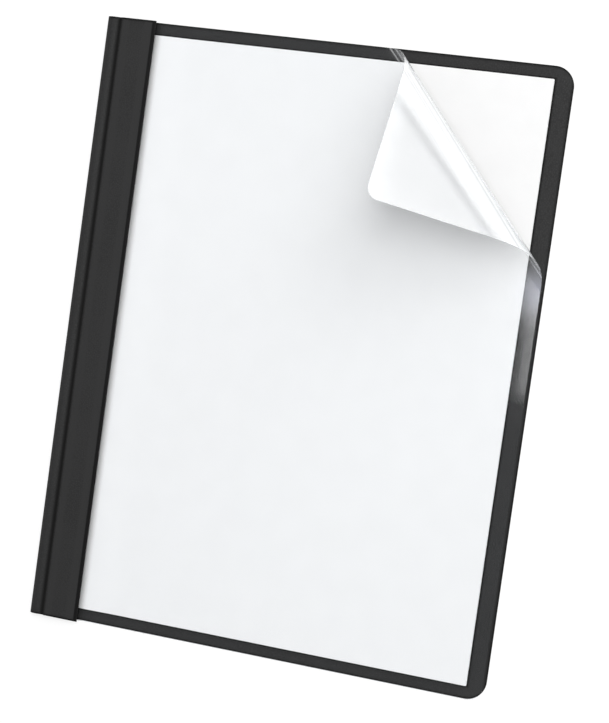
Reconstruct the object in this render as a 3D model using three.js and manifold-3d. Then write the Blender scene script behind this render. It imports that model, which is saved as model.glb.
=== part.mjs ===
// A report cover for letter sheets, lying on its back, in millimetres with +Z up.
// A sheet of leatherette card makes the back, the spine fold and a hemmed strip down the front.
// A clear film is glued under that strip, and its free top corner is curled back over itself.
// Inside, double prong fasteners under a card strip hold a stack of punched pages.
// X runs from the spine to the free edge, Y up the page. The origin is under the middle of the back.

import * as THREE from 'three';
import { mergeVertices } from 'three/addons/utils/BufferGeometryUtils.js';
import Module from 'manifold-3d';

const wasm = await Module();
wasm.setup();

// Pages
const PAGE_WIDTH = 215.9;
const PAGE_HEIGHT = 279.4;
const PAGE_STACK = 2.0;
const HOLE_DIAMETER = 7.1;
const HOLE_FROM_EDGE = 12.7;
const HOLE_SPACING = 107.95;

// Margins of the cover round the pages
const SPINE_MARGIN = 3.4;
const FREE_MARGIN = 9.3;
const END_MARGIN = 6.35;

// Leatherette card
const CARD = 0.4;
const CORNER_RADIUS = 9.5;
const SPINE_DEPTH = 3.3;
const FOLD_GAP = 0.3;
const CREST_DROP = 0.2;
const GROOVE_DEPTH = 0.65;
const GROOVE_TO_HOLES = 9.3;
const GROOVE_TO_STRIP = 2.0;
const HOLES_TO_STRIP_EDGE = 9.5;
const STRIP_OVERHANG = 0.4;
const HEM_GAP = 0.1;

// Clear film
const FILM = 0.3;
const FILM_SIDE_INSET = 1.3;
const FILM_CORNER_RADIUS = 6;
const FILM_END_INSET = 0.3;
const FILM_UNDER_STRIP = 16.3;
const FILM_CLEARANCE = 0.1;
const GLUE_LINE = 0.05;

// Curled corner of the film
const CURL_DEPTH = 68.4;
const CURL_DIRECTION = -48;
const CURL_RADIUS_TOP = 7.6;
const CURL_RADIUS_SIDE = 5.5;
const CURL_TURN = 157.5;
const CURL_LEAD_IN = 0.3;

// Fasteners and the card strip over their bases
const FASTENER_SHEET = 0.3;
const FASTENER_STRIP = 0.7;
const FASTENER_STRIP_WIDTH = 23;
const FASTENER_STRIP_END_INSET = 8;
const BASE_WIDTH = 12.7;
const BASE_LENGTH = 8;
const BASE_CLEARANCE = 0.3;
const PRONG_WIDTH = 3.2;
const PRONG_LENGTH = 30;
const PRONG_SPACING = 1.3;
const PRONG_BEND = 0.5;
const PRONG_TIP_FLAT = 0.2;
const SLIT_CLEARANCE = 0.35;

// Stretch past the card strip over which pages and film settle down
const SETTLE_GAP = 0.3;
const SETTLE_LENGTH = 18;

// How far a cutting shape runs past what it cuts
const CUT_PAST = 0.5;

// Fineness of curved stretches
const BEND_STEPS = 8;
const SETTLE_STEPS = 12;
const CORNER_STEPS = 8;
const HOLE_SIDES = 40;
const CURL_LINES = 30;
const CURL_COLUMNS = 14;
const CURL_TABLE_STEPS = 600;
const NORMAL_STEP = 0.02;

// Places along X
const coverWidth = SPINE_MARGIN + PAGE_WIDTH + FREE_MARGIN;
const coverHeight = PAGE_HEIGHT + 2 * END_MARGIN;
const spineX = -coverWidth / 2;
const freeX = coverWidth / 2;
const pageLeft = spineX + SPINE_MARGIN;
const pageRight = pageLeft + PAGE_WIDTH;
const holeX = pageLeft + HOLE_FROM_EDGE;
const holeYs = [HOLE_SPACING, 0, -HOLE_SPACING];
const spineFlatX = spineX + SPINE_DEPTH;
const grooveX = holeX - GROOVE_TO_HOLES;
const stripLeft = grooveX + GROOVE_TO_STRIP;
const stripRight = holeX + HOLES_TO_STRIP_EDGE;
const fastenerStripRight = holeX + FASTENER_STRIP_WIDTH / 2;
const settleLeft = Math.max(fastenerStripRight, stripRight) + SETTLE_GAP;
const settleRight = settleLeft + SETTLE_LENGTH;

// Heights
const fastenerStripTop = CARD + FASTENER_STRIP;
const stackTop = fastenerStripTop + PAGE_STACK;
const prongTop = stackTop + FASTENER_SHEET;
const filmHigh = prongTop + FILM_CLEARANCE + FILM / 2;
const filmLow = CARD + PAGE_STACK + FILM_CLEARANCE + FILM / 2;
const hemLow = filmHigh + FILM / 2 + GLUE_LINE + CARD / 2;
const hemHigh = hemLow + CARD + HEM_GAP;
const spineAxisZ = (CARD / 2 + hemHigh - CREST_DROP) / 2;

// Edges of the film
const filmLeft = stripRight - FILM_UNDER_STRIP;
const filmRight = freeX - FILM_SIDE_INSET;
const filmTop = coverHeight / 2 - FILM_END_INSET;

// Numbers between two ends, both included
function spread(from, to, steps) {
  return Array.from({ length: steps + 1 }, (_, i) => from + ((to - from) * i) / steps);
}

// Smooth step from 0 to 1 with level ends
function ease(share) {
  const clipped = Math.min(1, Math.max(0, share));
  return (1 - Math.cos(Math.PI * clipped)) / 2;
}

// Height that changes from one level to another over the settling stretch
function settled(x, high, low) {
  return high + (low - high) * ease((x - settleLeft) / (settleRight - settleLeft));
}

// Points on a round or oval bend, from one angle to another in degrees
function bend(centreX, centreZ, radiusX, radiusZ, fromAngle, toAngle) {
  return spread(fromAngle, toAngle, BEND_STEPS).map((angle) => {
    const turn = THREE.MathUtils.degToRad(angle);
    return [centreX + radiusX * Math.cos(turn), centreZ + radiusZ * Math.sin(turn)];
  });
}

// Outline of a folded sheet: its middle line, moved half a thickness to each side
function foldedOutline(line, thickness) {
  const side = (sign) => line.map(([x, z], i) => {
    const [beforeX, beforeZ] = line[Math.max(i - 1, 0)];
    const [afterX, afterZ] = line[Math.min(i + 1, line.length - 1)];
    const inLength = Math.hypot(x - beforeX, z - beforeZ) || 1;
    const outLength = Math.hypot(afterX - x, afterZ - z) || 1;
    const tangentX = (x - beforeX) / inLength + (afterX - x) / outLength;
    const tangentZ = (z - beforeZ) / inLength + (afterZ - z) / outLength;
    const length = Math.hypot(tangentX, tangentZ);
    const isEnd = i === 0 || i === line.length - 1;
    const mitre = isEnd ? 1 : 2 / length;
    const reach = (sign * mitre * thickness) / 2;
    return new THREE.Vector2(x - (tangentZ / length) * reach, z + (tangentX / length) * reach);
  });
  return [...side(-1), ...side(1).reverse()];
}

// A section in X and Z, carried along Y between two ends
function carriedAlongY(outline, fromY, toY) {
  const geometry = new THREE.ExtrudeGeometry(new THREE.Shape(outline), {
    depth: toY - fromY,
    bevelEnabled: false,
  });
  geometry.rotateX(Math.PI / 2);
  geometry.translate(0, toY, 0);
  return geometry;
}

// An outline in X and Y, raised along Z between two heights
function raised(shape, fromZ, toZ) {
  const geometry = new THREE.ExtrudeGeometry(shape, {
    depth: toZ - fromZ,
    bevelEnabled: false,
    curveSegments: CORNER_STEPS,
  });
  geometry.translate(0, 0, fromZ);
  return geometry;
}

// A box between two corners
function block(low, high) {
  const geometry = new THREE.BoxGeometry(high[0] - low[0], high[1] - low[1], high[2] - low[2]);
  geometry.translate((low[0] + high[0]) / 2, (low[1] + high[1]) / 2, (low[2] + high[2]) / 2);
  return geometry;
}

// Rectangle whose corners on the right side are rounded
function roundedRight(left, right, halfHeight, radius) {
  const shape = new THREE.Shape();
  shape.moveTo(left, -halfHeight);
  shape.lineTo(right - radius, -halfHeight);
  shape.absarc(right - radius, -halfHeight + radius, radius, -Math.PI / 2, 0, false);
  shape.lineTo(right, halfHeight - radius);
  shape.absarc(right - radius, halfHeight - radius, radius, 0, Math.PI / 2, false);
  shape.lineTo(left, halfHeight);
  return shape;
}

// Closed geometry to a solid for cutting and joining
function solid(geometry) {
  const bare = geometry.clone();
  bare.deleteAttribute('normal');
  bare.deleteAttribute('uv');
  const merged = mergeVertices(bare, 1e-4);
  return new wasm.Manifold(new wasm.Mesh({
    numProp: 3,
    vertProperties: new Float32Array(merged.attributes.position.array),
    triVerts: new Uint32Array(merged.index.array),
  }));
}

// Solid back to geometry
function geometryOf(body) {
  const mesh = body.getMesh();
  const geometry = new THREE.BufferGeometry();
  geometry.setAttribute('position', new THREE.BufferAttribute(mesh.vertProperties, 3));
  geometry.setIndex(new THREE.BufferAttribute(mesh.triVerts, 1));
  geometry.computeVertexNormals();
  return geometry;
}

// Back panel with the back half of the spine fold
function backCover() {
  const endAngle = THREE.MathUtils.radToDeg(Math.asin(FOLD_GAP / 2 / (spineAxisZ - CARD / 2)));
  const curve = bend(
    spineFlatX,
    spineAxisZ,
    SPINE_DEPTH - CARD / 2,
    spineAxisZ - CARD / 2,
    -90,
    -180 + endAngle,
  );
  const line = [[freeX, CARD / 2], ...curve];
  const halfHeight = coverHeight / 2;
  const folded = carriedAlongY(foldedOutline(line, CARD), -halfHeight, halfHeight);
  const outline = roundedRight(spineX - CUT_PAST, freeX, halfHeight, CORNER_RADIUS);
  const cutter = raised(outline, -CUT_PAST, spineAxisZ + CUT_PAST);
  return geometryOf(solid(folded).intersect(solid(cutter)));
}

// Front half of the spine fold, the groove and the strip with its hem turned under
function frontFlap() {
  const crestZ = hemHigh - CREST_DROP;
  const startAngle = THREE.MathUtils.radToDeg(Math.asin(FOLD_GAP / 2 / (crestZ - spineAxisZ)));
  const spine = bend(
    spineFlatX,
    spineAxisZ,
    SPINE_DEPTH - CARD / 2,
    crestZ - spineAxisZ,
    180 - startAngle,
    90,
  );
  const grooveZ = hemHigh - GROOVE_DEPTH;
  const dip = (fromX, toX, fromZ, toZ) => spread(0, 1, BEND_STEPS).slice(1).map((share) => [
    fromX + (toX - fromX) * share,
    fromZ + (toZ - fromZ) * ease(share),
  ]);
  const hemRadius = (hemHigh - hemLow) / 2;
  const hemX = stripRight - CARD / 2 - hemRadius;
  const line = [
    ...spine,
    ...dip(spineFlatX, grooveX, crestZ, grooveZ),
    ...dip(grooveX, stripLeft, grooveZ, hemHigh),
    ...bend(hemX, (hemHigh + hemLow) / 2, hemRadius, hemRadius, 90, -90),
    [filmLeft, hemLow],
  ];
  const halfLength = coverHeight / 2 + STRIP_OVERHANG;
  return carriedAlongY(foldedOutline(line, CARD), -halfLength, halfLength);
}

// Card strip over the fastener bases, with a pocket and a slit for each fastener
function fastenerStrip() {
  const halfWidth = FASTENER_STRIP_WIDTH / 2;
  const halfLength = coverHeight / 2 - FASTENER_STRIP_END_INSET;
  let strip = solid(block(
    [holeX - halfWidth, -halfLength, CARD],
    [holeX + halfWidth, halfLength, fastenerStripTop],
  ));
  const pocketX = BASE_WIDTH / 2 + BASE_CLEARANCE;
  const pocketY = BASE_LENGTH / 2 + BASE_CLEARANCE;
  const slitX = PRONG_WIDTH / 2 + SLIT_CLEARANCE;
  const slitY = (PRONG_SPACING + FASTENER_SHEET) / 2 + SLIT_CLEARANCE;
  for (const y of holeYs) {
    strip = strip.subtract(solid(block(
      [holeX - pocketX, y - pocketY, CARD - CUT_PAST],
      [holeX + pocketX, y + pocketY, CARD + FASTENER_SHEET],
    )));
    strip = strip.subtract(solid(block(
      [holeX - slitX, y - slitY, CARD],
      [holeX + slitX, y + slitY, fastenerStripTop + CUT_PAST],
    )));
  }
  return geometryOf(strip);
}

// One prong: up from the base, through the page hole, and folded flat over the pages
function prong(side) {
  const foot = CARD + FASTENER_SHEET / 2;
  const level = stackTop + FASTENER_SHEET / 2;
  const y = (side * PRONG_SPACING) / 2;
  const fold = bend(y + side * PRONG_BEND, level - PRONG_BEND, side * PRONG_BEND, PRONG_BEND, 180, 90);
  const line = [[y, foot], ...fold, [side * PRONG_LENGTH, level]];
  const outline = foldedOutline(line, FASTENER_SHEET);
  const ribbon = carriedAlongY(outline, -PRONG_WIDTH / 2, PRONG_WIDTH / 2);
  ribbon.rotateZ(Math.PI / 2);
  const tipRadius = (PRONG_WIDTH - PRONG_TIP_FLAT) / 2;
  const shape = roundedRight(-PRONG_LENGTH, PRONG_LENGTH, PRONG_WIDTH / 2, tipRadius);
  const rounded = raised(shape, 0, level + CUT_PAST);
  rounded.rotateZ((side * Math.PI) / 2);
  return solid(ribbon).intersect(solid(rounded));
}

// Base plate and its two prongs, at one page hole
function fastener(y) {
  const base = solid(block(
    [-BASE_WIDTH / 2, -BASE_LENGTH / 2, CARD],
    [BASE_WIDTH / 2, BASE_LENGTH / 2, CARD + FASTENER_SHEET],
  ));
  const geometry = geometryOf(base.add(prong(1)).add(prong(-1)));
  geometry.translate(holeX, y, 0);
  return geometry;
}

// Stack of pages, settling from the card strip down to the back panel, with its punched holes
function reportPages() {
  const columns = spread(settleLeft, settleRight, SETTLE_STEPS);
  const under = [[pageLeft, fastenerStripTop]];
  for (const x of columns) {
    under.push([x, settled(x, fastenerStripTop, CARD)]);
  }
  under.push([pageRight, CARD]);
  const outline = [
    ...under.map(([x, z]) => new THREE.Vector2(x, z)),
    ...under.map(([x, z]) => new THREE.Vector2(x, z + PAGE_STACK)).reverse(),
  ];
  let stack = solid(carriedAlongY(outline, -PAGE_HEIGHT / 2, PAGE_HEIGHT / 2));
  for (const y of holeYs) {
    const radius = HOLE_DIAMETER / 2;
    const punch = new THREE.CylinderGeometry(radius, radius, stackTop + CUT_PAST, HOLE_SIDES);
    punch.rotateX(Math.PI / 2);
    punch.translate(holeX, y, (stackTop + CUT_PAST) / 2);
    stack = stack.subtract(solid(punch));
  }
  return geometryOf(stack);
}

// The curl, as seen along its roll, for a roll radius of 1. Its curvature grows to 1 over a short
// lead-in and then falls evenly to 0, so the flap past the roll is straight.
function curlTable() {
  const turn = THREE.MathUtils.degToRad(CURL_TURN);
  const fade = 2 * turn - CURL_LEAD_IN;
  const end = CURL_LEAD_IN + fade;
  const step = end / CURL_TABLE_STEPS;
  const angleAt = (length) => {
    if (length < CURL_LEAD_IN) {
      return (length * length) / (2 * CURL_LEAD_IN);
    }
    const past = length - CURL_LEAD_IN;
    return CURL_LEAD_IN / 2 + past - (past * past) / (2 * fade);
  };
  const points = [[0, 0]];
  for (let i = 0; i < CURL_TABLE_STEPS; i += 1) {
    const angle = angleAt((i + 0.5) * step);
    const [along, up] = points[i];
    points.push([along + step * Math.cos(angle), up + step * Math.sin(angle)]);
  }
  return { points, step, end, turn };
}

const curl = curlTable();

// Place on the curl of radius 1, a given length past its start
function onCurl(length) {
  if (length >= curl.end) {
    const [along, up] = curl.points[CURL_TABLE_STEPS];
    const past = length - curl.end;
    return [along + past * Math.cos(curl.turn), up + past * Math.sin(curl.turn)];
  }
  const index = Math.min(Math.floor(length / curl.step), CURL_TABLE_STEPS - 1);
  const share = length / curl.step - index;
  const [fromAlong, fromUp] = curl.points[index];
  const [toAlong, toUp] = curl.points[index + 1];
  return [fromAlong + (toAlong - fromAlong) * share, fromUp + (toUp - fromUp) * share];
}

// Lines of the curl on the flat film: along the roll, and across it towards the corner
const rollAngle = THREE.MathUtils.degToRad(CURL_DIRECTION);
const roll = new THREE.Vector2(Math.cos(rollAngle), Math.sin(rollAngle));
const across = new THREE.Vector2(-roll.y, roll.x);
const filmCorner = new THREE.Vector2(filmRight, filmTop);
const curlStart = filmCorner.clone().addScaledVector(across, -CURL_DEPTH);
const roundCentre = new THREE.Vector2(filmRight - FILM_CORNER_RADIUS, filmTop - FILM_CORNER_RADIUS);

// Where a line along the roll, some way across it, meets the film's top edge and its side edge
function lineEnds(offset) {
  const line = curlStart.clone().addScaledVector(across, offset);
  const roundOffset = roundCentre.clone().sub(line);
  const middle = roundOffset.dot(roll);
  const away = roundOffset.dot(across);
  const half = Math.sqrt(Math.max(FILM_CORNER_RADIUS ** 2 - away ** 2, 0));
  let top = (filmTop - line.y) / roll.y;
  let side = (filmRight - line.x) / roll.x;
  if (line.x + top * roll.x > roundCentre.x) {
    top = middle - half;
  }
  if (line.y + side * roll.y > roundCentre.y) {
    side = middle + half;
  }
  return [top, side];
}

const [curlTopEnd, curlSideEnd] = lineEnds(0);

// Place of a point of the flat film once it is bound and its corner is curled
function filmPlace(x, y) {
  const from = new THREE.Vector2(x, y).sub(curlStart);
  const offset = from.dot(across);
  const height = settled(x, filmHigh, filmLow);
  if (offset <= 0) {
    return new THREE.Vector3(x, y, height);
  }
  const along = from.dot(roll);
  const share = Math.min(1, Math.max(0, (along - curlTopEnd) / (curlSideEnd - curlTopEnd)));
  const radius = CURL_RADIUS_TOP + (CURL_RADIUS_SIDE - CURL_RADIUS_TOP) * share;
  const [reach, lift] = onCurl(offset / radius);
  const flat = curlStart.clone().addScaledVector(roll, along).addScaledVector(across, reach * radius);
  return new THREE.Vector3(flat.x, flat.y, height + lift * radius);
}

// Direction square to the placed film at a point of the flat film
function filmNormal(x, y) {
  const alongX = filmPlace(x + NORMAL_STEP, y).sub(filmPlace(x - NORMAL_STEP, y));
  const alongY = filmPlace(x, y + NORMAL_STEP).sub(filmPlace(x, y - NORMAL_STEP));
  return alongX.cross(alongY).normalize();
}

// Flat net of points and triangles that a bent sheet is made from
class SheetNet {
  constructor() {
    this.points = [];
    this.faces = [];
    this.known = new Map();
  }

  point(x, y) {
    const key = `${x.toFixed(5)},${y.toFixed(5)}`;
    if (!this.known.has(key)) {
      this.known.set(key, this.points.length);
      this.points.push([x, y]);
    }
    return this.known.get(key);
  }

  face(a, b, c) {
    if (a !== b && b !== c && c !== a) {
      this.faces.push([a, b, c]);
    }
  }

  // Two lines of points with as many points each, the second to the left of the first
  band(first, second) {
    for (let i = 0; i + 1 < first.length; i += 1) {
      this.face(first[i], first[i + 1], second[i + 1]);
      this.face(first[i], second[i + 1], second[i]);
    }
  }

  // A rounded stretch whose edge is seen from its first point
  fan(rim) {
    for (let i = 1; i + 1 < rim.length; i += 1) {
      this.face(rim[0], rim[i], rim[i + 1]);
    }
  }

  // Closed sheet of a thickness, with each point placed and moved half of it to each side
  thicken(place, normal, thickness) {
    const count = this.points.length;
    const positions = new Float32Array(count * 6);
    this.points.forEach(([x, y], i) => {
      const middle = place(x, y);
      const square = normal(x, y);
      middle.clone().addScaledVector(square, thickness / 2).toArray(positions, i * 3);
      middle.clone().addScaledVector(square, -thickness / 2).toArray(positions, (count + i) * 3);
    });
    const edges = new Map();
    const index = [];
    for (const [a, b, c] of this.faces) {
      index.push(a, b, c, count + a, count + c, count + b);
      for (const [from, to] of [[a, b], [b, c], [c, a]]) {
        if (!edges.delete(`${to},${from}`)) {
          edges.set(`${from},${to}`, [from, to]);
        }
      }
    }
    for (const [from, to] of edges.values()) {
      index.push(from, count + from, count + to, from, count + to, to);
    }
    const geometry = new THREE.BufferGeometry();
    geometry.setAttribute('position', new THREE.BufferAttribute(positions, 3));
    geometry.setIndex(index);
    geometry.computeVertexNormals();
    return geometry;
  }
}

// Clear film: bound part, settling part, flat part and curled corner
function clearFrontCover() {
  const net = new SheetNet();
  const column = (x) => [net.point(x, filmTop), net.point(x, -filmTop)];
  const columns = [filmLeft, ...spread(settleLeft, settleRight, SETTLE_STEPS)].map(column);
  for (let i = 0; i + 1 < columns.length; i += 1) {
    net.band(columns[i], columns[i + 1]);
  }

  const curlLine = (offset) => {
    const [top, side] = lineEnds(offset);
    return spread(top, side, CURL_COLUMNS).map((along) => {
      const place = curlStart.clone().addScaledVector(roll, along).addScaledVector(across, offset);
      return net.point(place.x, place.y);
    });
  };
  const tip = roundCentre.clone().sub(curlStart).dot(across) + FILM_CORNER_RADIUS;
  const offsets = spread(0, 1, CURL_LINES).map((share) => tip * Math.sin((share * Math.PI) / 2));
  const lines = offsets.map(curlLine);
  for (let i = 0; i + 1 < lines.length; i += 1) {
    net.band(lines[i], lines[i + 1]);
  }

  const lowCorner = spread(-90, 0, CORNER_STEPS).map((angle) => {
    const turn = THREE.MathUtils.degToRad(angle);
    return net.point(
      roundCentre.x + FILM_CORNER_RADIUS * Math.cos(turn),
      -roundCentre.y + FILM_CORNER_RADIUS * Math.sin(turn),
    );
  });
  const [lastTop, lastBottom] = columns[columns.length - 1];
  net.fan([lastBottom, ...lowCorner, ...[...lines[0]].reverse(), lastTop]);
  return net.thicken(filmPlace, filmNormal, FILM);
}

// Finishes
const leatherette = new THREE.MeshStandardMaterial({ color: 0x38383a, roughness: 0.62 });
const cardStock = new THREE.MeshStandardMaterial({ color: 0x2c2c2e, roughness: 0.8 });
const tinned = new THREE.MeshStandardMaterial({ color: 0xb9bbbd, roughness: 0.35, metalness: 1 });
const paper = new THREE.MeshStandardMaterial({ color: 0xfafafa, roughness: 0.9 });
const clearFilm = new THREE.MeshStandardMaterial({
  color: 0xf4f8fb,
  roughness: 0.08,
  transparent: true,
  opacity: 0.25,
});

const cover = new THREE.Group();

// Adds one named piece to the cover
function add(name, geometry, material) {
  const mesh = new THREE.Mesh(geometry, material);
  mesh.name = name;
  cover.add(mesh);
}

add('back_cover', backCover(), leatherette);
add('front_flap', frontFlap(), leatherette);
add('clear_front_cover', clearFrontCover(), clearFilm);
add('fastener_strip', fastenerStrip(), cardStock);
add('report_pages', reportPages(), paper);
['fastener_top', 'fastener_middle', 'fastener_bottom'].forEach((name, i) => {
  add(name, fastener(holeYs[i]), tinned);
});

export default cover;
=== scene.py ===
"""Looks of a report cover for letter sheets: leatherette back and binding strip, clear film front with
a curled corner, prong fasteners and a stack of white pages. Lengths are in metres, with +Z up."""

import math

import bpy
import numpy as np
from mathutils import Matrix, Vector


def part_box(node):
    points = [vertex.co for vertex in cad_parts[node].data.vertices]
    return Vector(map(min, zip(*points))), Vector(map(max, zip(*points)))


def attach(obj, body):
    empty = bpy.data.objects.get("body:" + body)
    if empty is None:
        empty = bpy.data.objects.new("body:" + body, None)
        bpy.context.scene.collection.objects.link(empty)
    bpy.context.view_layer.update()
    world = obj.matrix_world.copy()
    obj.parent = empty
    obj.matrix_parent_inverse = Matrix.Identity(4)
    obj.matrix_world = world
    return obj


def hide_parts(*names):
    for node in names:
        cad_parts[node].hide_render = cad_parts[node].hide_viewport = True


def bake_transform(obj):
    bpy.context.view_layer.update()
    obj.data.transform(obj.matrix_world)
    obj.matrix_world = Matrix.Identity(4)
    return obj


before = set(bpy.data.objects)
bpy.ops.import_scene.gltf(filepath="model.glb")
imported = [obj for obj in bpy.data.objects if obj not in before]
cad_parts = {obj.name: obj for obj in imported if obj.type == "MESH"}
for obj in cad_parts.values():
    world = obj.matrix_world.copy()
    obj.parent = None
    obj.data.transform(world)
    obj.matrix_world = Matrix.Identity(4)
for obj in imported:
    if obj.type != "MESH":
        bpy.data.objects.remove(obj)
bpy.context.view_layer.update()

MM = 0.001
SAME_POINT = 0.002 * MM
FAR = 1.0

# Edges and heights from the frame
BACK_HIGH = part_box("back_cover")[1]
FLAP_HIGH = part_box("front_flap")[1]
FILM_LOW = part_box("clear_front_cover")[0]
PAGES_LOW, PAGES_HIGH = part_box("report_pages")
STUB_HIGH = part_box("fastener_strip")[1]
PRONGS_LOW, PRONGS_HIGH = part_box("fastener_middle")
FREE_X = BACK_HIGH[0]
SPINE_X = -FREE_X
HALF_HEIGHT = BACK_HIGH[1]
STRIP_RIGHT = FLAP_HIGH[0]
STRIP_HALF = FLAP_HIGH[1]
STRIP_TOP = FLAP_HIGH[2]
FILM_LEFT = FILM_LOW[0]
FILM_TOP = -FILM_LOW[1]
HOLE_X = (PRONGS_LOW[0] + PRONGS_HIGH[0]) / 2
PRONG_TOP = PRONGS_HIGH[2]

# Leatherette card
CARD = 0.4 * MM
CORNER_RADIUS = 9.5 * MM
SPINE_DEPTH = 3.3 * MM
CREST_DROP = 0.2 * MM
GROOVE_DEPTH = 0.65 * MM
GROOVE_TO_HOLES = 9.3 * MM
GROOVE_TO_STRIP = 2.0 * MM
HEM_GAP = 0.1 * MM
GROOVE_X = HOLE_X - GROOVE_TO_HOLES
# Widths of the painted shade along the cut edges and the spine, in the groove and beside the pages'
# outline, the mesh lines that carry it beside the pages, and its step at the hem
EDGE_WIDTH = 1.15 * MM
GROOVE_SHADE_WIDTH = 1.4 * MM
PAGE_SHADOW_WIDTH = 0.8 * MM
PAGE_SHADOW_LINES = np.linspace(-0.25, 1.25, 7) * MM
HEM_SHADE = 2.1 * MM
HEM_SHADE_STEP = 0.6 * MM
# Painted highlights: paler bands on the strip beside the groove and beside the hem
HIGHLIGHT_FROM_GROOVE = 3.4 * MM
HIGHLIGHT_FROM_HEM = 4.2 * MM
HIGHLIGHT_WIDTH = 1.5 * MM
NEAR_END = 1.4 * MM

# Clear film
FILM = 0.3 * MM
FILM_SIDE_INSET = 1.3 * MM
FILM_CLEARANCE = 0.1 * MM
FILM_CORNER_RADIUS = 6.0 * MM
CURL_DEPTH = 68.4 * MM
CURL_DIRECTION = -48.0
CURL_RADIUS_TOP = 7.6 * MM
CURL_RADIUS_SIDE = 5.5 * MM
CURL_TURN = 157.5
CURL_LEAD_IN = 0.3
BENT_FROM = 4.0 * MM
BENT_TO = 24.0 * MM
# Pale crease lines at the start of the curl, partly crease whitening and partly a painted highlight
CREASES = np.array([5.0, 7.6]) * MM
CREASE_LINE = 0.35 * MM
CREASE_REACH = 9.0 * MM
# Reach of the painted shade on the film beside the strip
STRIP_SHADE_REACH = 2.0 * MM
# Reach of the painted reflection at the end of the curl
PAINTED_REFLECTION_REACH = 12.0 * MM
# Band along the roll, in radii, whose stretch marks are partly a painted highlight
ROLL_MIDDLE = 2.8
ROLL_WIDTH = 1.0
FILM_MIRROR = 0.022
BENT_MIRROR = 0.045
MARKED_MIRROR = 0.02
FILM_TINT = (0.984, 0.992, 1.0)
# Grey of the painted shade on the film beside the strip
STRIP_SHADE_GREY = 0.68
BENT_SHADE = 0.45
BENT_HAZE = 0.28
# Haze share of the crease lines, partly a painted highlight
CREASE_HAZE_AND_HIGHLIGHT = 0.28
# Haze share of the painted reflection at the end of the curl
PAINTED_REFLECTION_HAZE = 0.22
HAZE_COLOUR = (0.93, 0.94, 0.95)
# Colour of the painted reflection
PAINTED_REFLECTION_COLOUR = (0.82, 0.84, 0.97)

# Pages
SHEETS = 20
SHEET_SHARE = 0.92
SHEET_SHIFT = 0.18 * MM
HOLE_RADIUS = 3.55 * MM
HOLE_PATCH = 6.0 * MM
HOLE_YS = (107.95 * MM, 0.0, -107.95 * MM)

# Settling stretch past the card strip
SETTLE_GAP = 0.3 * MM
SETTLE_LENGTH = 18.0 * MM
SETTLE_LEFT = max(STUB_HIGH[0], STRIP_RIGHT) + SETTLE_GAP
SETTLE_RIGHT = SETTLE_LEFT + SETTLE_LENGTH

FILM_RIGHT = FREE_X - FILM_SIDE_INSET
FILM_HIGH_Z = PRONG_TOP + FILM_CLEARANCE + FILM / 2
FILM_LOW_Z = CARD + (PAGES_HIGH[2] - STUB_HIGH[2]) + FILM_CLEARANCE + FILM / 2

# Points or steps along each part of a surface
PANEL_POINTS = 60
CORNER_POINTS = 25
SPINE_STEPS = 36
GROOVE_POINTS = 15
STRIP_POINTS = 16
HEM_POINTS = 8
FOLD_STEPS = 12
UNDER_POINTS = 12
HEIGHT_POINTS = 60
END_POINTS = 8
PROFILE_POINTS = 2001
ALONG_CURL_STEPS = 70
ACROSS_CURL_POINTS = 220
CREASE_POINTS = 9
FILM_CORNER_POINTS = 17
FILM_SIDE_POINTS = 60
FILM_FLAT_POINTS = 40
FILM_BOUND_POINTS = 6
FILM_SETTLE_POINTS = 37
SHEET_SETTLE_POINTS = 19
HOLE_SIDE_STEPS = 8
HOLE_RING_POINTS = 4
NORMAL_STEP = 0.02 * MM

# Angles past which faces meet in a sharp edge
SHARP_FROM = 50.0
SHARP_FROM_IN_PAPER = 30.0

# Looks: scales in bumps per metre, depths of relief, and how much light each surface gives back
PEBBLE_SCALE = 1050.0
PEBBLE_WARP_SCALE = 600.0
PEBBLE_WARP = 0.5 * MM
WRINKLE_SCALE = 260.0
LEATHERETTE_FIBRE_SCALE = 5200.0
LEATHERETTE_MOTTLE_SCALE = 38.0
LEATHERETTE_RELIEF = 0.06 * MM
LEATHERETTE_GREY = 0.026
# How much paler the painted highlights make the strip
HIGHLIGHT_GAIN = 1.5
PAPER_FIBRE_SCALE = 2600.0
PAPER_CLOUD_SCALE = 90.0
PAPER_RELIEF = 0.02 * MM
PAPER_WHITE = 0.93
FELT_SCALE = 1400.0
CARD_MOTTLE_SCALE = 60.0
CARD_RELIEF = 0.05 * MM
CARD_GREY = 0.03
ROLLING_SCALE = 5200.0
STEEL_CLOUD_SCALE = 160.0
STEEL_RELIEF = 0.02 * MM
STEEL_GREY = 0.62
RIPPLE_SCALE = 9.0
RIPPLE_RELIEF = 2.0 * MM
# Scale of the stretch marks, which are partly the streaks of a painted highlight
STRETCH_MARK_AND_STREAK_SCALE = 420.0
SCUFF_SCALE = 40.0
FLOOR_WHITE = 0.75
FLOOR_SEEN_WHITE = 0.3
FLOOR_SEEN_GLOW = 0.76

# Camera, fitted to the corners of the sheets and of the cover in the photo
PHOTO_HEIGHT = 723
FOCAL_PIXELS = 1934.9
SENSOR = 36.0
CAMERA_TURNS = (3.447, -16.584, -7.940)
CAMERA_OFFSET = (-5.64 * MM, 4.82 * MM)
CAMERA_DISTANCE = 0.9126
NEAREST_SEEN = 0.01
FARTHEST_SEEN = 50.0

# Light. Each lamp has a name, a place, a point that it faces, a width and a brightness
CURL_MIDDLE = (0.04, 0.08, 0.02)
LAMPS = [
    ("key", (0.85, 1.51, 3.56), CURL_MIDDLE, 2.3, 3.75),
    ("rim", (1.82, 2.54, 1.11), CURL_MIDDLE, 2.33, 3.2),
    ("overhead", (0.098, 0.059, 0.6), (0.04, 0.059, 0.02), 0.2, 4.4),
]
WALL_LIGHT = 0.68
WALL_TOP = 0.35
OVERHEAD_LIGHT = 0.22
FLOOR_HALF = 4.0
FLOOR_GAP = 0.02 * MM


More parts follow.
